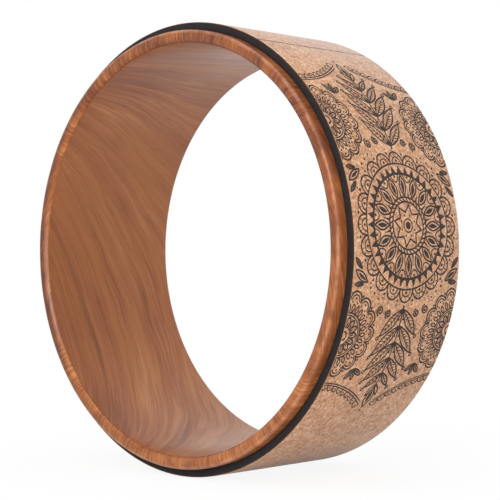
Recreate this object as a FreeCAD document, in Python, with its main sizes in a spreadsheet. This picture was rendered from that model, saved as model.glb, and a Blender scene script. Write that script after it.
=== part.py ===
# Yoga wheel: a rigid wood-grain hoop wrapped by a self-adhesive strip of foam that is faced with cork.
# The wheel stands on its tread: its axis is along Y, Z is up and the origin is the centre of the wheel.
# Lengths are in millimetres and angles in degrees.
import FreeCAD, Part
import math
import os
import Sketcher

# Driving dimensions: alias, value and what it measures
SIZES = (
    ("bore_diameter", 299.2, "clear diameter inside the hoop"),
    ("hoop_wall", 9.2, "radial thickness of the hoop"),
    ("hoop_width", 131.0, "length of the hoop along its axis, over both lips"),
    ("bore_edge_round", 3.8, "radius of the lips' edges towards the bore"),
    ("rim_edge_round", 2.2, "radius of the lips' edges towards the pad"),
    ("lip_width", 8.4, "bare stretch of the hoop's outer wall at each side of the wrapped strip"),
    ("backing_thickness", 0.2, "adhesive film between the hoop and the foam"),
    ("foam_thickness", 5.0, "foam layer of the strip"),
    ("bonding_thickness", 0.2, "adhesive film between the foam and the cork"),
    ("cork_thickness", 0.8, "cork skin of the strip"),
    ("seam_angle", 60.3, "place of the strip's butt seam, from +X towards +Z"),
    ("seam_gap", 0.4, "width of the open butt seam on the hoop's surface"),
)

doc = FreeCAD.newDocument("YogaWheel")


def size_sheet():
    """Spreadsheet with one named cell for each driving dimension."""
    sheet = doc.addObject("Spreadsheet::Sheet", "Sizes")
    for row, (alias, value, meaning) in enumerate(SIZES, start=1):
        sheet.set(f"A{row}", meaning)
        sheet.set(f"B{row}", str(value))
        sheet.setAlias(f"B{row}", alias)
    doc.recompute()


def ring_profile(body, inner_radius, outer_radius, width):
    """Sketch of a ring's section: X is the radius, Y is along the wheel's axis, centred on the X axis."""
    sketch = body.newObject("Sketcher::SketchObject", f"{body.Label}_profile")
    plane = next(feature for feature in body.Origin.OriginFeatures if feature.Role == "XY_Plane")
    sketch.AttachmentSupport = [(plane, "")]
    sketch.MapMode = "FlatFace"

    # A first rectangle, which the named constraints then size
    corners = [FreeCAD.Vector(x, y, 0) for x, y in ((1, -1), (2, -1), (2, 1), (1, 1))]
    near, outside, far, inside = (
        sketch.addGeometry(Part.LineSegment(start, end))
        for start, end in zip(corners, corners[1:] + corners[:1])
    )
    for first, second in ((near, outside), (outside, far), (far, inside), (inside, near)):
        sketch.addConstraint(Sketcher.Constraint("Coincident", first, 2, second, 1))
    for line in (near, far):
        sketch.addConstraint(Sketcher.Constraint("Horizontal", line))
    sketch.addConstraint(Sketcher.Constraint("Vertical", inside))
    x_axis = -1
    origin = (x_axis, 1)
    sketch.addConstraint(Sketcher.Constraint("Symmetric", outside, 1, outside, 2, x_axis))

    # Each size: its name, the way it is measured, between which two points, at first, and the sheet's value
    for name, measure, start, end, first_value, expression in (
        ("inner_radius", "DistanceX", origin, (inside, 1), 1.0, inner_radius),
        ("outer_radius", "DistanceX", origin, (outside, 1), 2.0, outer_radius),
        ("width", "DistanceY", (outside, 1), (outside, 2), 2.0, width),
    ):
        index = sketch.addConstraint(Sketcher.Constraint(measure, *start, *end, first_value))
        sketch.renameConstraint(index, name)
        sketch.setExpression(f"Constraints.{name}", expression)
    return sketch


def turned_ring(label, inner_radius, outer_radius, width, turn="360"):
    """Body of a ring, turned about the wheel's axis through the angle given."""
    body = doc.addObject("PartDesign::Body", label)
    body.Label = label
    sketch = ring_profile(body, inner_radius, outer_radius, width)
    ring = body.newObject("PartDesign::Revolution", f"{label}_turned")
    ring.Profile = sketch
    ring.ReferenceAxis = (sketch, ["V_Axis"])
    ring.setExpression("Angle", turn)
    doc.recompute()
    return body


def rounded(body, name, edge_radius, round_size):
    """Rounds the hoop's two circular edges of the given radius, by less than half of its wall."""
    base = body.Tip
    edges = [
        f"Edge{number}"
        for number, edge in enumerate(base.Shape.Edges, start=1)
        if isinstance(edge.Curve, Part.Circle) and math.isclose(edge.Curve.Radius, edge_radius)
    ]
    fillet = body.newObject("PartDesign::Fillet", name)
    fillet.Base = (base, edges)
    fillet.setExpression("Radius", f"min({round_size}; 0.45 * Sizes.hoop_wall)")
    doc.recompute()


def hoop(bore_radius, rim_radius):
    """Rigid hoop: a plain round tube whose ends are the two lips, with softened edges."""
    body = turned_ring("hoop", bore_radius, rim_radius, "Sizes.hoop_width")
    profile = body.Tip.Profile[0]
    rounded(body, "bore_edges", profile.getDatum("inner_radius").Value, "Sizes.bore_edge_round")
    rounded(body, "rim_edges", profile.getDatum("outer_radius").Value, "Sizes.rim_edge_round")
    return body


def strip_layer(label, inner_radius, thickness, rim_radius):
    """One layer of the wrapped strip, open at the butt seam. Returns its body and its outer radius."""
    outer_radius = f"{inner_radius} + {thickness}"
    width = "Sizes.hoop_width - 2 * Sizes.lip_width"
    seam_turn = f"Sizes.seam_gap / ({rim_radius}) * 180 / pi"
    body = turned_ring(label, inner_radius, outer_radius, width, f"360 - {seam_turn}")

    # The ring is turned from +X towards -Z, which leaves the gap just above +X: its middle goes to the seam
    body.Placement = FreeCAD.Placement(FreeCAD.Vector(), FreeCAD.Rotation(FreeCAD.Vector(0, 1, 0), 1))
    body.setExpression("Placement.Rotation.Angle", f"-(Sizes.seam_angle - {seam_turn} / 2)")
    doc.recompute()
    return body, outer_radius


def wheel():
    """All sub-parts of the wheel, from the bore outwards."""
    bore_radius = "Sizes.bore_diameter / 2"
    rim_radius = f"{bore_radius} + Sizes.hoop_wall"
    parts = [hoop(bore_radius, rim_radius)]
    radius = rim_radius
    for label, thickness in (
        ("pad_backing_film", "Sizes.backing_thickness"),
        ("foam_pad", "Sizes.foam_thickness"),
        ("cork_bonding_film", "Sizes.bonding_thickness"),
        ("cork_cover", "Sizes.cork_thickness"),
    ):
        layer, radius = strip_layer(label, radius, thickness, rim_radius)
        parts.append(layer)
    return parts


def check(parts):
    """Stops if any feature failed or a sub-part isn't one valid closed solid."""
    for feature in doc.Objects:
        if {"Invalid", "Error"} & set(feature.State):
            raise RuntimeError(f"{feature.Label} failed: {feature.State}")
    for part in parts:
        if part.Shape.isNull() or not part.Shape.isValid() or len(part.Shape.Solids) != 1:
            raise RuntimeError(f"{part.Label} isn't one valid solid")


def export(parts):
    """Writes each sub-part to its own STEP file and prints its size."""
    os.makedirs("parts", exist_ok=True)
    for part in parts:
        part.Shape.exportStep(f"parts/{part.Label}.step")
        box = part.Shape.optimalBoundingBox(False)
        print(f"{part.Label}: {box.XLength:.2f} x {box.YLength:.2f} x {box.ZLength:.2f} mm, "
              f"{part.Shape.Volume / 1000:.2f} cm3")


size_sheet()
wheel_parts = wheel()
doc.recompute()
check(wheel_parts)
export(wheel_parts)
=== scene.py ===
# Yoga wheel: the finishes of a wood-grain hoop wrapped by a foam strip that is faced with printed cork.
# Lengths are in metres, the wheel's axis is along Y, Z is up and the origin is the wheel's centre.
# A turn about the wheel is an angle from +X towards +Z.
import math

import bpy
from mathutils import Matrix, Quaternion, Vector


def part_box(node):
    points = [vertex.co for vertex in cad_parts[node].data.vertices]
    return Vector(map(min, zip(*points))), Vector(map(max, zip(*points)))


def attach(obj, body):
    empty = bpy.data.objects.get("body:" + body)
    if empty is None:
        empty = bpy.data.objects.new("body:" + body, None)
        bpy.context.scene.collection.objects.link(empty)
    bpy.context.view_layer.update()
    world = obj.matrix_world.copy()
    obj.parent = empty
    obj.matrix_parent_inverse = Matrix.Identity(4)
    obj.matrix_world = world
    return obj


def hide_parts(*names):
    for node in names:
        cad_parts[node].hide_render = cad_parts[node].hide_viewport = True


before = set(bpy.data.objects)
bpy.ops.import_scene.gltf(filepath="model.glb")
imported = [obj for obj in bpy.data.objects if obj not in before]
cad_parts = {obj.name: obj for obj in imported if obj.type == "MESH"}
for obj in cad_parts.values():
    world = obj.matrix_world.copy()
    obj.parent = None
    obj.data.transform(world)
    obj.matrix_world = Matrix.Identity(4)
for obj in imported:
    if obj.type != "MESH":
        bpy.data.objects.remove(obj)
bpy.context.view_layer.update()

MM = 0.001

# Corners closer than this count as touching
TOUCHING = 0.001 * MM

# Places on the wheel, and the gap that the dressed strip leaves at its seam
SEAM_TURN = math.radians(60.3)
SEAM_GAP = 0.05 * MM
PRINT_TURN = math.radians(4.2)
PRINT_COUNT = 2

# Edges of the pieces and the steps in their rounds, the steps in a whole turn, and which edges look smooth
BORE_EDGE_ROUND = 3.8 * MM
BORE_EDGE_STEPS = 8
RIM_EDGE_ROUND = 2.2 * MM
RIM_EDGE_STEPS = 5
CUT_EDGE_ROUND = 0.18 * MM
FOAM_EDGE_ROUND = 0.6 * MM
THIN_EDGE_STEPS = 3
SEAM_BEVEL = 0.25 * MM
RING_STEPS = 480
SMOOTH_ANGLE = math.radians(40)

# Printed grain of the bore: the turn at which its arches peak, how tall they are, how far they sway,
# and the arch that is drawn darkest
ARCH_TURN = math.radians(203)
ARCH_HEIGHT = 157 * MM
SLOW_SWAY = 20 * MM
QUICK_SWAY = 6 * MM
CORE_RING = 204 * MM

# How far the outlines of the cork's granules stray
GRANULE_STRAY = 1.6 * MM

# The cork's surface lies a little within the tread, and the ink stands proud of it
CORK_DROP = 0.1 * MM
INK_SINK = 0.02 * MM
INK_PROUD = 0.04 * MM


def ring_size(node):
    """Inner radius, outer radius and width of a CAD ring."""
    radii = [math.hypot(corner.co.x, corner.co.z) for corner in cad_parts[node].data.vertices]
    low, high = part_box(node)
    return min(radii), max(radii), high.y - low.y


BORE_RADIUS, RIM_RADIUS, HOOP_WIDTH = ring_size("hoop")
CORK_INNER, TREAD_RADIUS, STRIP_WIDTH = ring_size("cork_cover")
CORK_SURFACE = TREAD_RADIUS - CORK_DROP


# Modelling steps

def new_object(name, data):
    """Object in the scene for a curve, a camera or a lamp."""
    made = bpy.data.objects.new(name, data)
    bpy.context.scene.collection.objects.link(made)
    return made


def deselect():
    bpy.ops.object.select_all(action="DESELECT")


def keep_only_active(piece):
    deselect()
    piece.select_set(True)
    bpy.context.view_layer.objects.active = piece


def apply_place(piece):
    """Moves an object's place, turn and scale into its mesh."""
    keep_only_active(piece)
    bpy.ops.object.transform_apply(location=True, rotation=True, scale=True)


def apply_modifiers(piece):
    keep_only_active(piece)
    for modifier in [modifier.name for modifier in piece.modifiers]:
        bpy.ops.object.modifier_apply(modifier=modifier)


def ring_section(name, inner, outer, width):
    """Section of a ring at +X, a plane from its inner to its outer radius."""
    deselect()
    bpy.ops.mesh.primitive_plane_add(size=1, location=((inner + outer) / 2, 0, 0))
    piece = bpy.context.object
    piece.name = name
    piece.data.name = name
    piece.scale = (outer - inner, width, 1)
    apply_place(piece)
    return piece


def edit_whole(piece):
    """Goes to edit mode with all of a piece selected."""
    keep_only_active(piece)
    bpy.ops.object.mode_set(mode="EDIT")
    bpy.ops.mesh.select_all(action="SELECT")


def leave_edit():
    bpy.ops.object.mode_set(mode="OBJECT")


def select_corners(piece, wanted):
    """Goes to edit mode with only the corners selected that pass a test."""
    keep_only_active(piece)
    bpy.ops.object.mode_set(mode="EDIT")
    bpy.ops.mesh.select_mode(type="VERT")
    bpy.ops.mesh.select_all(action="DESELECT")
    leave_edit()
    for corner in piece.data.vertices:
        corner.select = wanted(corner.co)
    bpy.ops.object.mode_set(mode="EDIT")


def round_corners(piece, radius, amount, steps):
    """Rounds the corners of a section that lie on the given radius."""
    select_corners(piece, lambda corner: math.isclose(corner.x, radius, abs_tol=TOUCHING))
    bpy.ops.mesh.bevel(affect="VERTICES", offset=amount, segments=steps, profile=0.5)
    leave_edit()


def turn_section(piece, sweep, closed=False):
    """Turns a section about the wheel's axis, from where it is towards -Z."""
    edit_whole(piece)
    bpy.ops.mesh.delete(type="ONLY_FACE")
    leave_edit()
    screw = piece.modifiers.new("turned", "SCREW")
    screw.axis = "Y"
    screw.angle = sweep
    screw.steps = RING_STEPS
    screw.render_steps = RING_STEPS
    screw.use_merge_vertices = closed
    apply_modifiers(piece)


def face_outwards(piece):
    """Merges doubles and points every face outwards."""
    edit_whole(piece)
    bpy.ops.mesh.remove_doubles(threshold=TOUCHING)
    bpy.ops.mesh.normals_make_consistent(inside=False)
    leave_edit()


def turn_to_seam(piece):
    """Turns a section from one side of the strip's seam to the other and closes its two bevelled ends."""
    opening = (SEAM_GAP + 2 * SEAM_BEVEL) / RIM_RADIUS
    piece.rotation_euler.y = -(SEAM_TURN - opening / 2)
    apply_place(piece)
    turn_section(piece, math.tau - opening)
    bpy.ops.object.mode_set(mode="EDIT")
    bpy.ops.mesh.select_mode(type="VERT")
    bpy.ops.mesh.select_all(action="DESELECT")
    bpy.ops.mesh.select_non_manifold()
    bpy.ops.mesh.fill_holes(sides=0)
    leave_edit()
    face_outwards(piece)

    # The corners of the two ends lie within a short stretch of the seam
    outwards = Vector((math.cos(SEAM_TURN), 0, math.sin(SEAM_TURN)))
    close = math.cos(opening)
    select_corners(piece, lambda corner: corner.xz.normalized().dot(outwards.xz) > close)
    bpy.ops.mesh.select_mode(type="FACE")
    bpy.ops.mesh.inset(thickness=SEAM_BEVEL, depth=SEAM_BEVEL)
    leave_edit()


def smooth(piece):
    keep_only_active(piece)
    bpy.ops.object.shade_smooth_by_angle(angle=SMOOTH_ANGLE)


# Node trees

def colour(red, green, blue):
    """Colour from its screen values of 0 to 255."""
    def linear(value):
        value /= 255
        return value / 12.92 if value <= 0.04045 else ((value + 0.055) / 1.055) ** 2.4
    return (linear(red), linear(green), linear(blue), 1)


def add(tree, kind, inputs=None, **settings):
    """New node with its settings and its inputs, which are values or other nodes' outputs."""
    made = tree.nodes.new(kind)
    for name, value in settings.items():
        setattr(made, name, value)
    for socket, value in (inputs or {}).items():
        if isinstance(value, bpy.types.NodeSocket):
            tree.links.new(value, made.inputs[socket])
        else:
            made.inputs[socket].default_value = value
    return made


def reckon(tree, operation, *values):
    """Result of a Math node."""
    return add(tree, "ShaderNodeMath", dict(enumerate(values)), operation=operation).outputs[0]


def weighted(tree, *shares):
    """Sum of values, each times its share."""
    total = reckon(tree, "MULTIPLY", *shares[0])
    for value, share in shares[1:]:
        total = reckon(tree, "MULTIPLY_ADD", value, share, total)
    return total


def axes(tree, place):
    """X, Y and Z of a place."""
    return add(tree, "ShaderNodeSeparateXYZ", {0: place}).outputs


def ramp(tree, value, *stops):
    """Colour from a value, by stops of a place and a colour."""
    made = add(tree, "ShaderNodeValToRGB", {"Fac": value})
    elements = made.color_ramp.elements
    while len(elements) < len(stops):
        elements.new(0.5)
    for element, (place, shade) in zip(elements, stops):
        element.position = place
        element.color = shade
    return made.outputs["Color"]


def spread(tree, value, low, high, to_low=0.0, to_high=1.0):
    """Value mapped smoothly from one range to another."""
    inputs = {"Value": value, "From Min": low, "From Max": high, "To Min": to_low, "To Max": to_high}
    return add(tree, "ShaderNodeMapRange", inputs, interpolation_type="SMOOTHSTEP").outputs["Result"]


def toned(tree, figure, *steps):
    """Figure made paler or darker by steps: a value, where the step begins and ends, and the change."""
    for value, begin, end, change in steps:
        figure = reckon(tree, "ADD", figure, spread(tree, value, begin, end, 0.0, change))
    return figure


def blend(tree, factor, first, second):
    """Colour mixed from two."""
    inputs = {0: factor, 6: first, 7: second}
    return add(tree, "ShaderNodeMix", inputs, data_type="RGBA").outputs[2]


def noise(tree, place, scale, detail=2.0, roughness=0.5, across=None):
    """Noise on a place, drawn out along the lines where a fourth value is constant, if one is given."""
    inputs = {"Vector": place, "Scale": scale, "Detail": detail, "Roughness": roughness}
    if across is None:
        return add(tree, "ShaderNodeTexNoise", inputs).outputs["Fac"]
    inputs["W"] = across
    return add(tree, "ShaderNodeTexNoise", inputs, noise_dimensions="4D").outputs["Fac"]


def bump(tree, height, distance, strength=1.0):
    inputs = {"Height": height, "Distance": distance, "Strength": strength}
    return add(tree, "ShaderNodeBump", inputs).outputs["Normal"]


def new_material(name):
    """Material with a Principled shader. Returns it, its tree, the shader and its Object coordinates."""
    material = bpy.data.materials.new(name)
    material.use_nodes = True
    tree = material.node_tree
    shader = tree.nodes["Principled BSDF"]
    place = add(tree, "ShaderNodeTexCoord").outputs["Object"]
    return material, tree, shader, place


def join(tree, shader, **sockets):
    """Links outputs to a shader's inputs, with the sockets' spaces written as underscores."""
    for name, output in sockets.items():
        tree.links.new(output, shader.inputs[name.replace("_", " ")])


def new_group(name, inputs, outputs):
    """Shader node group with sockets of the kinds given. Returns it, its inputs and its output node."""
    group = bpy.data.node_groups.new(name, "ShaderNodeTree")
    for label, kind in inputs:
        group.interface.new_socket(label, in_out="INPUT", socket_type=kind)
    for label, kind in outputs:
        group.interface.new_socket(label, in_out="OUTPUT", socket_type=kind)
    return group, add(group, "NodeGroupInput").outputs, add(group, "NodeGroupOutput")


def patches_group():
    """Soft patches of a given size: a mask that rises where a noise passes from one level to another."""
    group, given, result = new_group(
        "patches",
        (("Place", "NodeSocketVector"), ("Scale", "NodeSocketFloat"),
         ("Low", "NodeSocketFloat"), ("High", "NodeSocketFloat")),
        (("Mask", "NodeSocketFloat"),),
    )
    cloud = noise(group, given["Place"], given["Scale"], 3.0, 0.55)
    group.links.new(spread(group, cloud, given["Low"], given["High"]), result.inputs["Mask"])
    return group


def wheel_place_group():
    """Place on the wheel: the turn, the distance from the axis and the distance from the middle plane."""
    group, given, result = new_group(
        "wheel_place",
        (("Place", "NodeSocketVector"),),
        (("Turn", "NodeSocketFloat"), ("Radius", "NodeSocketFloat"), ("Side", "NodeSocketFloat")),
    )
    xyz = axes(group, given["Place"])
    square = weighted(group, (xyz["Z"], xyz["Z"]), (xyz["X"], xyz["X"]))
    for name, output in (
        ("Turn", reckon(group, "ARCTAN2", xyz["Z"], xyz["X"])),
        ("Radius", reckon(group, "SQRT", square)),
        ("Side", reckon(group, "ABSOLUTE", xyz["Y"])),
    ):
        group.links.new(output, result.inputs[name])
    return group


def granules_group():
    """Pressed cork granules: the tone of each and the depth of the gaps between them."""
    group, given, result = new_group(
        "granules",
        (("Place", "NodeSocketVector"),),
        (("Tone", "NodeSocketFloat"), ("Gaps", "NodeSocketFloat")),
    )
    place = given["Place"]
    cloud = {"Vector": place, "Scale": 420.0, "Detail": 2.0}
    stir = add(group, "ShaderNodeTexNoise", cloud).outputs["Color"]
    middle = {0: stir, 1: (0.5, 0.5, 0.5)}
    stray = add(group, "ShaderNodeVectorMath", middle, operation="SUBTRACT").outputs[0]
    stirred = {0: stray, 1: (GRANULE_STRAY, GRANULE_STRAY, GRANULE_STRAY), 2: place}
    moved = add(group, "ShaderNodeVectorMath", stirred, operation="MULTIPLY_ADD").outputs[0]
    coarse = add(group, "ShaderNodeTexVoronoi", {"Vector": moved, "Scale": 430.0})
    fine = add(group, "ShaderNodeTexVoronoi", {"Vector": moved, "Scale": 950.0})
    coarse_tone = add(group, "ShaderNodeSeparateColor", {0: coarse.outputs["Color"]}).outputs[0]
    fine_tone = add(group, "ShaderNodeSeparateColor", {0: fine.outputs["Color"]}).outputs[0]
    clouds = noise(group, place, 55.0, 4.0, 0.6)
    tone = weighted(group, (coarse_tone, 0.3), (fine_tone, 0.4), (clouds, 0.3))
    group.links.new(tone, result.inputs["Tone"])
    group.links.new(spread(group, fine.outputs["Distance"], 0.0, 0.6, 1.0, 0.0), result.inputs["Gaps"])
    return group


PATCHES = patches_group()
WHEEL_PLACE = wheel_place_group()
GRANULES = granules_group()


def patches(tree, place, scale, low, high):
    inputs = {"Place": place, "Scale": scale, "Low": low, "High": high}
    return add(tree, "ShaderNodeGroup", inputs, node_tree=PATCHES).outputs["Mask"]


def wheel_place(tree, place):
    return add(tree, "ShaderNodeGroup", {"Place": place}, node_tree=WHEEL_PLACE).outputs


def granules(tree, place):
    return add(tree, "ShaderNodeGroup", {"Place": place}, node_tree=GRANULES).outputs


# Materials

def growth_rings(tree, place, turn):
    """Value that is constant along each arch of the grain and grows by about the distance across them."""
    away = reckon(tree, "COSINE", reckon(tree, "SUBTRACT", turn, ARCH_TURN))
    across = axes(tree, place)["Y"]
    fade = reckon(tree, "EXPONENT", reckon(tree, "DIVIDE", across, -ARCH_HEIGHT))
    arches = reckon(tree, "MULTIPLY", reckon(tree, "MULTIPLY", away, fade), ARCH_HEIGHT)
    slow = noise(tree, place, 5.0, 2.0)
    quick = noise(tree, place, 22.0, 1.0)
    return reckon(tree, "ADD", arches, weighted(tree, (slow, SLOW_SWAY), (quick, QUICK_SWAY)))


def bore_grain(tree, place, turn):
    """Colour of the bore wall, and its figure: soft bands, lines and fibres."""
    growth = growth_rings(tree, place, turn)

    def along_arches(scale, fineness, detail, roughness):
        """Noise drawn out along the arches, finer across them."""
        return noise(tree, place, scale, detail, roughness, reckon(tree, "MULTIPLY", growth, fineness))

    bands = along_arches(4.0, 9, 3.0, 0.55)
    lines = along_arches(8.0, 22, 3.0, 0.6)
    fibres = along_arches(22.0, 28, 3.0, 0.6)
    figure = weighted(tree, (bands, 0.31), (lines, 0.3), (fibres, 0.39))

    # The figure is bolder towards the top and the bottom, and calm in patches
    xyz = axes(tree, place)
    off_middle = reckon(tree, "ABSOLUTE", xyz["Z"])
    bold = spread(tree, off_middle, 85 * MM, 130 * MM, 1.0, 1.5)
    calm = spread(tree, noise(tree, place, 9.0, 2.0), 0.38, 0.6, 0.7, 1.15)
    contrast = reckon(tree, "MULTIPLY", bold, calm)
    figure = reckon(tree, "MULTIPLY_ADD", reckon(tree, "SUBTRACT", figure, 0.5), contrast, 0.5)

    # It is darker within the arches, at the back and in the front corners, with painted light at top and
    # bottom
    front = reckon(tree, "SUBTRACT", off_middle, xyz["Y"])
    figure = toned(
        tree, figure,
        (growth, 150 * MM, 205 * MM, -0.1),
        (xyz["Y"], 15 * MM, 60 * MM, -0.03),
        # Painted light: these two steps make the top and the bottom paler
        (xyz["Z"], 60 * MM, 130 * MM, 0.06),
        (xyz["Z"], -55 * MM, -115 * MM, 0.09),
        (front, 120 * MM, 190 * MM, -0.1),
    )
    shade = ramp(
        tree, figure,
        (0.37, colour(126, 70, 35)), (0.47, colour(149, 89, 50)),
        (0.54, colour(159, 98, 56)), (0.66, colour(176, 117, 74)),
    )

    # Some bands are golden and some a greyer brown
    hue = along_arches(4.0, 10, 2.0, 0.5)
    shade = blend(tree, spread(tree, hue, 0.5, 0.66, 0.0, 0.22), shade, colour(164, 104, 48))
    shade = blend(tree, spread(tree, hue, 0.5, 0.36, 0.0, 0.2), shade, colour(134, 82, 66))

    # Each year's growth darkens towards a late-wood line, here clear and there faded
    year = reckon(tree, "FRACT", weighted(tree, (bands, 4.0), (growth, 45)))
    strength = spread(tree, noise(tree, place, 12.0, 3.0), 0.45, 0.7, 0.0, 0.22)
    late = reckon(tree, "MULTIPLY", spread(tree, year, 0.6, 0.98), strength)
    from_core = reckon(tree, "ABSOLUTE", reckon(tree, "SUBTRACT", growth, CORE_RING))
    late = reckon(tree, "MAXIMUM", late, spread(tree, from_core, 4 * MM, 0.5 * MM, 0.0, 0.4))
    shade = blend(tree, late, shade, colour(108, 60, 32))

    # Pores are short dark dashes along the grain
    pores = along_arches(50.0, 18, 2.0, 0.5)
    dashes = spread(tree, pores, 0.57, 0.7, 0.0, 0.25)
    return blend(tree, dashes, shade, colour(104, 56, 24)), figure


def lip_grain(tree, place, on_wheel):
    """Colour of the lips and the outer wall: streaks across at top and bottom, along them at the sides."""
    sideways = reckon(tree, "COSINE", on_wheel["Turn"])
    inset = reckon(tree, "SUBTRACT", on_wheel["Radius"], BORE_RADIUS)
    depth = reckon(tree, "SUBTRACT", HOOP_WIDTH / 2, on_wheel["Side"])
    height = axes(tree, place)["Z"]

    # Streaks across the lip lean now this way and now that
    lean = reckon(tree, "MULTIPLY_ADD", noise(tree, place, 14.0, 2.0), 2.4, -1.2)
    over = weighted(tree, (on_wheel["Turn"], BORE_RADIUS), (inset, lean))
    crossing = noise(tree, place, 45.0, 3.0, 0.7, reckon(tree, "MULTIPLY", over, 18))

    # Streaks along it drift from the bore to the rim and on over the outer wall, and are fainter
    reach = reckon(tree, "MULTIPLY_ADD", depth, spread(tree, inset, 5 * MM, 7 * MM), inset)
    along = reckon(tree, "MULTIPLY_ADD", height, 0.35, reach)
    running = noise(tree, place, 30.0, 3.0, 0.65, reckon(tree, "MULTIPLY", along, 24))
    fainter = reckon(tree, "MULTIPLY_ADD", running, 0.7, 0.145)
    at_sides = spread(tree, reckon(tree, "ABSOLUTE", sideways), 0.78, 0.97)
    streaks = blend(tree, at_sides, crossing, fainter)
    stains = noise(tree, place, 70.0, 2.0)
    figure = weighted(tree, (streaks, 0.8), (stains, 0.35))

    # Painted light and shade: the lip is paler at the bottom of the wheel and a little darker at the top
    figure = toned(tree, figure, (height, -50 * MM, -140 * MM, 0.07), (height, 110 * MM, 155 * MM, -0.015))

    # Painted shade on the side away from +X darkens it from the bore to the rim, and more below the middle
    inner = spread(tree, inset, 0.5 * MM, 6 * MM, 0.1, -0.09)
    figure = reckon(tree, "MULTIPLY_ADD", inner, spread(tree, sideways, -0.4, -0.9), figure)
    far_side = spread(tree, sideways, -0.78, -0.95)
    low_side = reckon(tree, "MULTIPLY", far_side, spread(tree, height, 45 * MM, 5 * MM))
    figure = reckon(tree, "MULTIPLY_ADD", low_side, -0.07, figure)

    # Painted shade and light on the side towards +X: a dark stretch above the middle and a pale one below
    near_side = spread(tree, sideways, 0.5, 0.75)
    for middle, change in ((77 * MM, -0.085), (-27 * MM, 0.04)):
        off = reckon(tree, "ABSOLUTE", reckon(tree, "SUBTRACT", height, middle))
        painted_stretch = spread(tree, off, 12 * MM, 45 * MM, change, 0.0)
        figure = reckon(tree, "MULTIPLY_ADD", painted_stretch, near_side, figure)
    shade = ramp(
        tree, figure,
        (0.42, colour(92, 47, 26)), (0.54, colour(131, 72, 38)),
        (0.62, colour(150, 86, 44)), (0.8, colour(194, 126, 70)),
    )

    # A faint pale sheen lies near the bore, low on the side away from +X
    sheen = reckon(tree, "MULTIPLY", low_side, spread(tree, inset, 3.5 * MM, 1.5 * MM, 0.0, 0.14))
    shade = blend(tree, sheen, shade, colour(214, 178, 166))

    # Painted shade: the outer wall is a little darker, beside the foam
    wall_shade = spread(tree, on_wheel["Radius"], RIM_RADIUS - 0.8 * MM, RIM_RADIUS - 0.1 * MM, 0.0, 0.15)
    return blend(tree, wall_shade, shade, colour(104, 54, 26))


def printed_wood():
    """Wood-grain print of the hoop: nested arches of grain on the bore wall, streaks on the lips."""
    material, tree, shader, place = new_material("printed_wood")
    on_wheel = wheel_place(tree, place)
    bore, figure = bore_grain(tree, place, on_wheel["Turn"])
    lip = lip_grain(tree, place, on_wheel)

    # The lip's print begins on the round between it and the bore
    half_width = HOOP_WIDTH / 2
    on_lip = spread(tree, on_wheel["Side"], half_width - 3.2 * MM, half_width - 2.2 * MM)
    outside = spread(tree, on_wheel["Radius"], BORE_RADIUS + 3 * MM, BORE_RADIUS + 4 * MM)
    shade = blend(tree, reckon(tree, "MAXIMUM", on_lip, outside), bore, lip)

    # Painted highlight: the rounds towards the rim are pale beside the lip's face, more in some places
    # than in others
    highlight_begin, highlight_end = (half_width - share * RIM_EDGE_ROUND for share in (0.8, 0.1))
    near_face = spread(tree, on_wheel["Side"], highlight_begin, highlight_end)
    near_rim = spread(tree, on_wheel["Radius"], RIM_RADIUS - 2.8 * MM, RIM_RADIUS - 1.6 * MM)
    highlight_strength = spread(tree, noise(tree, place, 110.0, 4.0, 0.6), 0.35, 0.65, 0.05, 0.35)
    painted_highlight = reckon(tree, "MULTIPLY", reckon(tree, "MULTIPLY", near_face, near_rim), highlight_strength)
    shade = blend(tree, painted_highlight, shade, colour(216, 158, 128))

    join(
        tree, shader,
        Base_Color=shade,
        Roughness=reckon(tree, "MULTIPLY_ADD", patches(tree, place, 30.0, 0.3, 0.7), 0.1, 0.36),
        Normal=bump(tree, figure, 0.02 * MM),
    )
    shader.inputs["Specular IOR Level"].default_value = 0.1
    shader.inputs["Coat Weight"].default_value = 0.5
    shader.inputs["Coat Roughness"].default_value = 0.22
    return material


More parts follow.
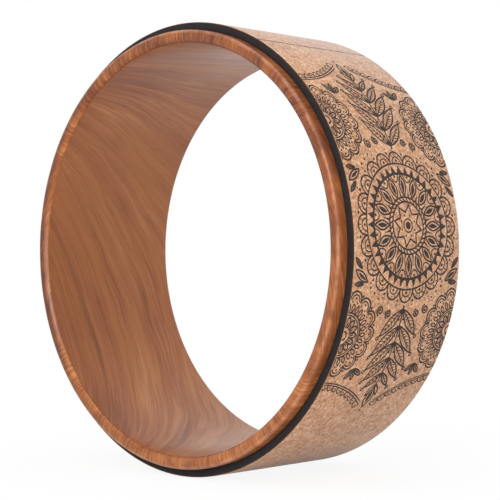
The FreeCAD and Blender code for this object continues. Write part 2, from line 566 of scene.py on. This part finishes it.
def pressed_cork():
    """Cork skin: pressed granules of many tans, with dark specks, rust flecks and browned cut edges."""
    material, tree, shader, place = new_material("pressed_cork")
    grain = granules(tree, place)
    shade = ramp(
        tree, grain["Tone"],
        (0.15, colour(133, 90, 60)), (0.4, colour(179, 131, 96)),
        (0.6, colour(197, 151, 116)), (0.85, colour(221, 186, 155)),
    )
    specks = reckon(tree, "MULTIPLY", patches(tree, place, 700.0, 0.6, 0.68), 0.6)
    shade = blend(tree, specks, shade, colour(98, 64, 44))
    flecks = reckon(tree, "MULTIPLY", patches(tree, place, 380.0, 0.64, 0.72), 0.4)
    shade = blend(tree, flecks, shade, colour(188, 122, 76))

    # Painted light and shade: a little greyer on top of the wheel, as a pale sheen, and browner
    # underneath, in shade
    height = axes(tree, place)["Z"]
    shade = blend(tree, spread(tree, height, 115 * MM, 155 * MM, 0.0, 0.17), shade, colour(206, 190, 188))
    shade = blend(tree, spread(tree, height, -138 * MM, -162 * MM, 0.0, 0.4), shade, colour(150, 98, 52))

    # Cut edges are browned: both sides of the strip, below the tread, and along the seam
    on_wheel = wheel_place(tree, place)
    half_width = STRIP_WIDTH / 2
    at_side = spread(tree, on_wheel["Side"], half_width - 0.2 * MM, half_width - 0.05 * MM)
    below = spread(tree, on_wheel["Radius"], CORK_SURFACE - 0.12 * MM, CORK_SURFACE - 0.3 * MM)
    from_seam = reckon(tree, "ABSOLUTE", reckon(tree, "SUBTRACT", on_wheel["Turn"], SEAM_TURN))
    at_seam = spread(tree, from_seam, 0.4 * MM / TREAD_RADIUS, 1.3 * MM / TREAD_RADIUS, 0.85, 0.0)
    cut = reckon(tree, "MAXIMUM", reckon(tree, "MULTIPLY", at_side, below), at_seam)
    shade = blend(tree, cut, shade, colour(62, 44, 34))

    join(
        tree, shader,
        Base_Color=shade,
        Roughness=spread(tree, grain["Tone"], 0.2, 0.9, 0.8, 0.62),
        Normal=bump(tree, reckon(tree, "MULTIPLY_ADD", grain["Gaps"], 0.6, grain["Tone"]), 0.12 * MM, 0.6),
    )
    shader.inputs["Specular IOR Level"].default_value = 0.25
    shader.inputs["Sheen Weight"].default_value = 0.3
    shader.inputs["Sheen Roughness"].default_value = 0.4
    return material


def black_foam():
    """Closed-cell foam: near black, with its cut cells as fine pits and a little dust."""
    material, tree, shader, place = new_material("black_foam")
    cells = add(tree, "ShaderNodeTexVoronoi", {"Vector": place, "Scale": 2600.0}).outputs["Distance"]
    cloud = noise(tree, place, 220.0, 3.0)
    tone = weighted(tree, (cloud, 0.5), (cells, 0.5))
    shade = ramp(tree, tone, (0.2, colour(25, 20, 21)), (0.8, colour(47, 40, 41)))
    dust = reckon(tree, "MULTIPLY", patches(tree, place, 900.0, 0.66, 0.74), 0.25)
    join(
        tree, shader,
        Base_Color=blend(tree, dust, shade, colour(104, 98, 94)),
        Roughness=spread(tree, tone, 0.2, 0.8, 0.75, 0.95),
        Normal=bump(tree, cells, 0.15 * MM, 0.5),
    )
    shader.inputs["Specular IOR Level"].default_value = 0.3
    return material


def dark_ink():
    """Ink of the print: brown black, thinner on the palest granules of the cork."""
    material, tree, shader, place = new_material("dark_ink")
    grain = granules(tree, place)
    thin = reckon(tree, "MULTIPLY", patches(tree, place, 500.0, 0.48, 0.72), 0.5)
    shade = ramp(
        tree, grain["Tone"],
        (0.3, colour(36, 30, 30)), (0.7, colour(54, 45, 42)), (0.9, colour(84, 66, 56)),
    )
    join(
        tree, shader,
        Base_Color=blend(tree, thin, shade, colour(96, 76, 64)),
        Roughness=spread(tree, grain["Tone"], 0.2, 0.9, 0.6, 0.8),
        Normal=bump(tree, grain["Tone"], 0.1 * MM, 0.5),
    )
    shader.inputs["Specular IOR Level"].default_value = 0.25
    return material


def adhesive_film():
    """Adhesive film: smoke black, dusty at its cut edge."""
    material, tree, shader, place = new_material("adhesive_film_edge")
    dust = patches(tree, place, 300.0, 0.35, 0.7)
    join(
        tree, shader,
        Base_Color=blend(tree, dust, colour(34, 32, 32), colour(66, 58, 52)),
        Roughness=reckon(tree, "MULTIPLY_ADD", dust, 0.3, 0.4),
    )
    return material


def finish_piece(piece, material, replaced=None):
    """Gives a piece its material and its place on the wheel."""
    piece.data.materials.clear()
    piece.data.materials.append(material)
    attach(piece, "root")
    if replaced:
        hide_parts(replaced)


# Pieces

def wood_hoop():
    """Hoop: a section with softened lips, turned into a closed ring."""
    piece = ring_section("wood_hoop", BORE_RADIUS, RIM_RADIUS, HOOP_WIDTH)
    round_corners(piece, BORE_RADIUS, BORE_EDGE_ROUND, BORE_EDGE_STEPS)
    round_corners(piece, RIM_RADIUS, RIM_EDGE_ROUND, RIM_EDGE_STEPS)
    turn_section(piece, math.tau, closed=True)
    face_outwards(piece)
    smooth(piece)
    finish_piece(piece, printed_wood(), "hoop")


def foam_strip():
    """Foam strip: a section with rounded sides, turned from seam to seam."""
    inner, outer, width = ring_size("foam_pad")
    piece = ring_section("foam_strip", inner, outer, width)
    for radius in (inner, outer):
        round_corners(piece, radius, FOAM_EDGE_ROUND, THIN_EDGE_STEPS)
    turn_to_seam(piece)
    smooth(piece)
    finish_piece(piece, black_foam(), "foam_pad")


def cork_skin():
    """Cork skin: a thin section with worn cut edges, turned from seam to seam."""
    piece = ring_section("cork_skin", CORK_INNER, CORK_SURFACE, STRIP_WIDTH)
    round_corners(piece, CORK_SURFACE, CUT_EDGE_ROUND, THIN_EDGE_STEPS)
    turn_to_seam(piece)
    smooth(piece)
    finish_piece(piece, pressed_cork(), "cork_cover")


# Print on the cork, drawn flat in millimetres: X across the strip, Y along it.
# First the widths of the pens and of the finest tip, the steps of a line and the flowers' place along Y

THIN_PEN = 0.95
PEN = 1.25
BOLD_PEN = 1.9
FINEST = 0.05
STEP = 2.2
SHORT_STEP = 1.6
FLOWER_PLACE = 74


def at(radius, angle):
    """Point at a distance and an angle from a motif's centre."""
    return Vector((radius * math.cos(angle), radius * math.sin(angle)))


def placed(across, along, side, way):
    """Point on the strip, mirrored to one side of it and one way along it."""
    return Vector((across * side, along * way))


def turns(count, first=0.0):
    """Angles of motifs that repeat all the way round."""
    return [first + math.tau * index / count for index in range(count)]


def stroke(ink, points, widths, closed=False):
    """One stroke of a pen, as wide at each point as given."""
    line = ink.splines.new("POLY")
    line.points.add(len(points) - 1)
    for point, place, width in zip(line.points, points, widths):
        point.co = (place.x * MM, place.y * MM, 0, 1)
        point.radius = width
    line.use_cyclic_u = closed


def even_line(ink, points, pen):
    """Line of one width through the points given, divided into short steps."""
    places = [points[0]]
    for start, end in zip(points, points[1:]):
        steps = max(1, round((end - start).length / STEP))
        places += [start.lerp(end, step / steps) for step in range(1, steps + 1)]
    stroke(ink, places, [pen] * len(places))


def ring(ink, centre, radius, pen):
    steps = max(14, round(math.tau * radius / STEP))
    stroke(ink, [centre + at(radius, angle) for angle in turns(steps)], [pen] * steps, closed=True)


def dot(ink, centre, radius):
    """Solid dot: a short stroke that swells and closes again."""
    shares = [math.sin(math.pi / 2 * step / 3) for step in range(-3, 4)]
    points = [centre + Vector((0, radius * share)) for share in shares]
    stroke(ink, points, [max(FINEST, 2 * radius * math.sqrt(1 - share * share)) for share in shares])


def ray(ink, start, end, base, tip=0.08):
    """Straight stroke that tapers from one width to another."""
    steps = max(2, round((end - start).length / STEP))
    shares = [step / steps for step in range(steps + 1)]
    places = [start.lerp(end, share) for share in shares]
    stroke(ink, places, [base + (tip - base) * share for share in shares])


def leaf(ink, root, tip, half_width, pen, core=0.0):
    """Pointed leaf drawn by its two sides, with a solid core of the given share of its width."""
    axis = tip - root
    across = Vector((-axis.y, axis.x)).normalized() * half_width
    steps = max(6, round(axis.length / SHORT_STEP))
    shares = [step / steps for step in range(steps + 1)]
    for side in (1, -1):
        points = [root + axis * share + across * side * math.sin(math.pi * share) for share in shares]
        stroke(ink, points, [pen] * len(points))
    if core:
        core_start, core_length = 0.14, 0.66
        inner = [root + axis * (core_start + core_length * share) for share in shares]
        widths = [max(FINEST, 2 * core * half_width * math.sin(math.pi * share)) for share in shares]
        stroke(ink, inner, widths)


def veined_leaf(ink, root, tip, half_width):
    """Pointed leaf with a midrib and pairs of slanting veins."""
    leaf(ink, root, tip, half_width, PEN)
    axis = tip - root
    across = Vector((-axis.y, axis.x)).normalized() * half_width
    ray(ink, root, root + axis * 0.9, PEN, 0.3)
    vein_spacing, first_vein, veined_length = 4.5, 0.1, 0.72
    vein_slant, vein_reach = 0.1, 0.78
    count = max(2, round(axis.length / vein_spacing))
    for index in range(1, count):
        share = first_vein + veined_length * index / count
        for side in (1, -1):
            reach = share + vein_slant
            edge = root + axis * reach + across * side * vein_reach * math.sin(math.pi * reach)
            ray(ink, root + axis * share, edge, THIN_PEN, 0.3)


def arch(ink, centre, angle, half_angle, low, high, pen):
    """Round arch that stands on a circle, from one side of its angle to the other."""
    steps = max(8, round(2 * half_angle * high / SHORT_STEP))
    points = []
    for step in range(steps + 1):
        swing = math.pi * (step / steps - 0.5)
        radius = low + (high - low) * math.cos(swing)
        points.append(centre + at(radius, angle + half_angle * math.sin(swing)))
    stroke(ink, points, [pen] * len(points))


def scroll(ink, centre, radius, way):
    """Small spiral, wound one way or the other."""
    steps, windings, start = 28, 1.7, 0.12
    shares = [step / steps for step in range(steps + 1)]
    points = [
        centre + at(radius * (start + (1 - start) * share), way * windings * math.tau * share)
        for share in shares
    ]
    stroke(ink, points, [PEN] * len(points))


def medallion(ink):
    """Round medallion in the middle of the strip: a star, a rope, leaves, a sunburst and arches."""
    centre = Vector((0, 0))
    star_valley, star_point = 9.2, 14.6
    rope_inside, rope_outside = 16.4, 19.6
    leaf_root, leaf_tip = 20.2, 35.2
    sun_inside, sun_outside = 36.4, 43.6
    arch_top = 52.4

    dot(ink, centre, 2.6)
    ring(ink, centre, 4.6, THIN_PEN)
    for angle in turns(8, math.pi / 8):
        dot(ink, at(7.4, angle), 0.8)
    star = [
        at(star_point if index % 2 else star_valley, angle)
        for index, angle in enumerate(turns(16, math.pi / 16))
    ]
    even_line(ink, star + star[:1], PEN)

    ring(ink, centre, rope_inside, PEN)
    for angle in turns(32):
        even_line(ink, [at(rope_inside, angle), at(rope_outside, angle + 0.16)], THIN_PEN)
    ring(ink, centre, rope_outside, PEN)

    for angle in turns(16):
        leaf(ink, at(leaf_root, angle), at(leaf_tip, angle), 3.2, PEN, core=0.5)
    for angle in turns(16, math.pi / 16):
        ray(ink, at(leaf_root, angle), at(27.0, angle), 1.6)
        arch(ink, centre, angle, math.pi / 26, sun_inside, 30.6, THIN_PEN)
        dot(ink, at(34.4, angle), 0.95)

    ring(ink, centre, sun_inside, BOLD_PEN)
    for angle in turns(36):
        ray(ink, at(37.4, angle), at(42.4, angle), 4.4)
    ring(ink, centre, sun_outside, PEN)

    for angle in turns(20):
        arch(ink, centre, angle, math.pi / 20, sun_outside, arch_top, PEN)
        arch(ink, centre, angle, math.pi / 32, sun_outside, 48.6, THIN_PEN)
        dot(ink, at(45.8, angle), 1.05)
        for lean, start, end in ((-0.07, 48.6, 50.4), (0, 49.6, 51.6), (0.07, 48.6, 50.4)):
            ray(ink, at(start, angle + lean), at(end, angle + 1.2 * lean), 0.7, 0.5)
    for angle in turns(20, math.pi / 20):
        dot(ink, at(51.6, angle), 1.0)
        dot(ink, at(54.6, angle), 0.6)


def half_flower(ink, centre):
    """Flower on the strip's edge, which cuts it in half."""
    heart, petal_root, petal_top = 3.2, 6.4, 13.0
    band_inside, band_outside = 14.4, 16.2
    fringe_root, fringe_tip = 16.6, 22.6
    scallop_root, scallop_top = 24.6, 31.0

    ring(ink, centre, heart, PEN)
    ring(ink, centre, petal_root, THIN_PEN)
    for angle in turns(14):
        arch(ink, centre, angle, math.pi / 14, petal_root, petal_top, PEN)
        ray(ink, centre + at(7.2, angle), centre + at(11.4, angle), 1.5)
    ring(ink, centre, band_inside, THIN_PEN)
    ring(ink, centre, band_outside, PEN)
    for angle in turns(28):
        leaf(ink, centre + at(fringe_root, angle), centre + at(fringe_tip, angle), 1.35, THIN_PEN)
    for angle in turns(28, math.pi / 28):
        dot(ink, centre + at(23.4, angle), 0.75)
    for angle in turns(14):
        arch(ink, centre, angle, math.pi / 14, scallop_root, scallop_top, PEN)
        arch(ink, centre, angle, math.pi / 20, scallop_root, 28.6, THIN_PEN)
        dot(ink, centre + at(26.4, angle), 0.8)
    for angle in turns(14, math.pi / 14):
        dot(ink, centre + at(29.6, angle), 0.9)


def garland(ink, start, pull, end, side):
    """Curved double cord with a row of dotted loops along its outer side."""
    loops, steps, loop_steps = 9, 4, 8
    loop_height, cord_gap = 0.7, 0.28
    points = []
    for step in range(loops * steps + 1):
        share = step / (loops * steps)
        points.append(start * (1 - share) ** 2 + pull * 2 * share * (1 - share) + end * share ** 2)
    stroke(ink, points, [THIN_PEN] * len(points))
    within = []
    for root, far in zip(points[::steps], points[steps::steps]):
        chord = far - root
        outward = Vector((-chord.y, chord.x)) * side
        loop = []
        for step in range(loop_steps + 1):
            swing = math.pi * step / loop_steps
            foot = root + chord * (0.5 - 0.5 * math.cos(swing))
            loop.append(foot + outward * loop_height * math.sin(swing))
        stroke(ink, loop, [THIN_PEN] * len(loop))
        dot(ink, root + chord * 0.5 + outward * 0.3, 0.7)
        within += [root - outward * cord_gap, root + chord * 0.5 - outward * cord_gap]
    stroke(ink, within, [THIN_PEN] * len(within))


def spray(ink, way):
    """Leafy spray along the strip, from the medallion to a bud at its end, with a garland at each side."""
    even_line(ink, [Vector((0, 54.5 * way)), Vector((0, 117 * way))], PEN)
    for start, length in ((57, 27), (69, 30), (81, 29), (93, 25), (105, 17)):
        root = Vector((0, start * way))
        for side in (1, -1):
            slant = Vector((side, way)) * 0.71
            veined_leaf(ink, root, root + slant * length, 0.135 * length)
            ring(ink, root + slant * (length + 1.8), 1.2, THIN_PEN)
            dot(ink, root + placed(2.2, 7.6, side, way), 0.8)
    cord = ((57.6, 111), (30, 113.5), (6, 133))
    for side in (1, -1):
        garland(ink, *(placed(*point, side, way) for point in cord), -side * way)
        root = placed(32.5, 99.5, side, way)
        for tip in ((-8, 6), (-1, 9.5), (7, 8)):
            leaf(ink, root, root + placed(*tip, side, way), 1.7, PEN, core=0.4)
        leaf(ink, Vector((0, 115 * way)), placed(6, 125, side, way), 1.6, PEN)
    leaf(ink, Vector((0, 117 * way)), Vector((0, 136 * way)), 3.6, PEN, core=0.5)
    dot(ink, Vector((0, 139 * way)), 1.0)


def corner_leaves(ink, side, way):
    """Three leaves in the corner between the medallion and a flower, then a row of dots and scrolls."""
    for root, tip, half_width in (
        ((42, 38), (55, 29.5), 2.6), ((46, 39), (55, 39), 1.4), ((48.5, 29), (55.5, 21.5), 1.4),
    ):
        leaf(ink, placed(*root, side, way), placed(*tip, side, way), half_width, PEN, core=0.45)
    for across, along, radius in ((38.2, 41.6, 1.0), (33.6, 45.4, 0.9), (28.8, 49.2, 0.8)):
        dot(ink, placed(across, along, side, way), radius)
    for across, along, radius in ((24.4, 57.6, 3.6), (15.4, 60.2, 3.2)):
        scroll(ink, placed(across, along, side, way), radius, side * way)


def drawn_ornament():
    """The whole ornament as one flat curve, with a straight pen nib that the strokes' widths scale."""
    nib_line = bpy.data.curves.new("nib", "CURVE")
    nib_line.dimensions = "2D"
    edge = nib_line.splines.new("POLY")
    edge.points.add(1)
    edge.points[0].co = (-0.5 * MM, 0, 0, 1)
    edge.points[1].co = (0.5 * MM, 0, 0, 1)
    nib = new_object("nib", nib_line)

    ink = bpy.data.curves.new("cork_print", "CURVE")
    ink.dimensions = "2D"
    ink.fill_mode = "NONE"
    ink.bevel_mode = "OBJECT"
    ink.bevel_object = nib
    half = STRIP_WIDTH / 2 / MM
    medallion(ink)
    for way in (1, -1):
        spray(ink, way)
        for side in (1, -1):
            half_flower(ink, placed(half, FLOWER_PLACE, side, way))
            corner_leaves(ink, side, way)
    piece = new_object("cork_print", ink)
    keep_only_active(piece)
    bpy.ops.object.convert(target="MESH")
    bpy.data.objects.remove(nib)
    return bpy.context.object


def trim_to_strip(piece):
    """Cuts off the strokes that run past the strip's two edges."""
    edge = STRIP_WIDTH / 2 - CUT_EDGE_ROUND
    edit_whole(piece)
    for side in (1, -1):
        bpy.ops.mesh.select_all(action="SELECT")
        bpy.ops.mesh.bisect(plane_co=(side * edge, 0, 0), plane_no=(side, 0, 0), clear_outer=True)
    leave_edit()


def wrap_on_tread(piece):
    """Bends a flat piece round the tread at +X and thickens it outwards."""
    radius = CORK_SURFACE - INK_SINK
    piece.rotation_euler = (math.pi / 2, 0, math.pi / 2)
    apply_place(piece)
    bend = piece.modifiers.new("wrapped", "SIMPLE_DEFORM")
    bend.deform_method = "BEND"
    bend.deform_axis = "Y"
    bend.angle = -piece.dimensions.z / radius
    apply_modifiers(piece)
    piece.location.x = radius
    apply_place(piece)
    relief = piece.modifiers.new("relief", "SOLIDIFY")
    relief.thickness = INK_SINK + INK_PROUD
    relief.offset = 1
    apply_modifiers(piece)


def cork_prints():
    """Ornament printed on the cork, repeated round the wheel."""
    first = drawn_ornament()
    trim_to_strip(first)
    wrap_on_tread(first)
    ink = dark_ink()
    for index in range(PRINT_COUNT):
        keep_only_active(first)
        bpy.ops.object.duplicate(linked=False)
        piece = bpy.context.object
        piece.name = f"cork_print_{index + 1}"
        piece.data.name = piece.name
        piece.rotation_euler.y = -(PRINT_TURN + index * math.tau / PRINT_COUNT)
        apply_place(piece)
        finish_piece(piece, ink)
    bpy.data.objects.remove(first)


# Studio: the photograph's view, the lamps with their places, sizes and watts, and the white around them

VIEW_TURN = math.radians(44.908)
VIEW_RISE = math.radians(-1.19)
VIEW_ROLL = math.radians(-0.981)
VIEW_DISTANCE = 1.0756
VIEW_AIM = Vector((0.00727, 0.00724, -0.00028))
SENSOR_WIDTH = 36
LENS = 102.23
LAMPS = (
    ("key_light", (0.95, -1.4, 0.72), 0.55, 12),
    ("top_light", (0.2, -0.5, 1.9), 1.6, 10),
    ("low_light", (1.2, -0.9, -0.05), 0.5, 4),
)
WHITE = (1, 1, 1, 1)
WORLD_LIGHT = 0.75
FLOOR_SIZE = 12
FLOOR_GREY = (0.92, 0.92, 0.92, 1)
FLOOR_WHITENESS = 0.9
SHADOW_BEGIN, SHADOW_END = 0.12, 0.45


def photo_camera():
    """Camera a metre away, level with the wheel and 45 degrees off its axis."""
    data = bpy.data.cameras.new("photo_camera")
    data.sensor_width = SENSOR_WIDTH
    data.lens = LENS
    camera = new_object("photo_camera", data)
    level = math.cos(VIEW_RISE)
    away = Vector((math.sin(VIEW_TURN) * level, -math.cos(VIEW_TURN) * level, math.sin(VIEW_RISE)))
    camera.location = VIEW_DISTANCE * away
    camera.rotation_mode = "QUATERNION"
    facing = (VIEW_AIM - camera.location).to_track_quat("-Z", "Y")
    camera.rotation_quaternion = facing @ Quaternion((0, 0, 1), VIEW_ROLL)
    bpy.context.scene.camera = camera


def seen_ray(tree):
    """Rays that show the background: from the camera, or by way of a reflection or glass."""
    path = add(tree, "ShaderNodeLightPath").outputs
    bounced = reckon(tree, "MAXIMUM", path["Is Glossy Ray"], path["Is Transmission Ray"])
    return reckon(tree, "MAXIMUM", path["Is Camera Ray"], bounced)


def white_world():
    """White surroundings, a little dimmer as light than they are seen."""
    world = bpy.data.worlds.new("white_world")
    bpy.context.scene.world = world
    world.use_nodes = True
    tree = world.node_tree
    output = tree.nodes["World Output"]
    light = tree.nodes["Background"]
    light.inputs["Color"].default_value = WHITE
    light.inputs["Strength"].default_value = WORLD_LIGHT
    seen = add(tree, "ShaderNodeBackground", {"Color": WHITE, "Strength": 1.0})
    mixed = add(tree, "ShaderNodeMixShader", {0: seen_ray(tree), 1: light.outputs[0], 2: seen.outputs[0]})
    tree.links.new(mixed.outputs[0], output.inputs["Surface"])


def pale_floor():
    """Plain floor under the tread, seen white with the wheel's soft shadow."""
    deselect()
    bpy.ops.mesh.primitive_plane_add(size=FLOOR_SIZE, location=(0, 0, -TREAD_RADIUS))
    floor = bpy.context.object
    floor.name = "pale_floor"
    material = bpy.data.materials.new("pale_floor")
    material.use_nodes = True
    tree = material.node_tree
    tree.nodes.remove(tree.nodes["Principled BSDF"])
    plain = add(tree, "ShaderNodeBsdfDiffuse", {"Color": FLOOR_GREY})
    white = add(tree, "ShaderNodeEmission", {"Color": WHITE, "Strength": 1.0})
    place = add(tree, "ShaderNodeTexCoord").outputs["Object"]
    away = add(tree, "ShaderNodeVectorMath", {0: place}, operation="LENGTH").outputs["Value"]
    whiteness = spread(tree, away, SHADOW_BEGIN, SHADOW_END, FLOOR_WHITENESS, 1.0)
    share = reckon(tree, "MULTIPLY", seen_ray(tree), whiteness)
    mixed = add(tree, "ShaderNodeMixShader", {0: share, 1: plain.outputs[0], 2: white.outputs[0]})
    tree.links.new(mixed.outputs[0], tree.nodes["Material Output"].inputs["Surface"])
    floor.data.materials.append(material)


def softbox(name, place, size, power):
    """Square soft light that faces the wheel."""
    data = bpy.data.lights.new(name, "AREA")
    data.size = size
    data.energy = power
    lamp = new_object(name, data)
    lamp.location = place
    lamp.rotation_mode = "QUATERNION"
    lamp.rotation_quaternion = (-lamp.location).to_track_quat("-Z", "Y")


def studio():
    photo_camera()
    white_world()
    pale_floor()
    for lamp in LAMPS:
        softbox(*lamp)
    bpy.context.scene.view_settings.view_transform = "Standard"


wood_hoop()
foam_strip()
cork_skin()
cork_prints()
film = adhesive_film()
for node in ("pad_backing_film", "cork_bonding_film"):
    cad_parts[node].material_slots[0].material = film
studio()
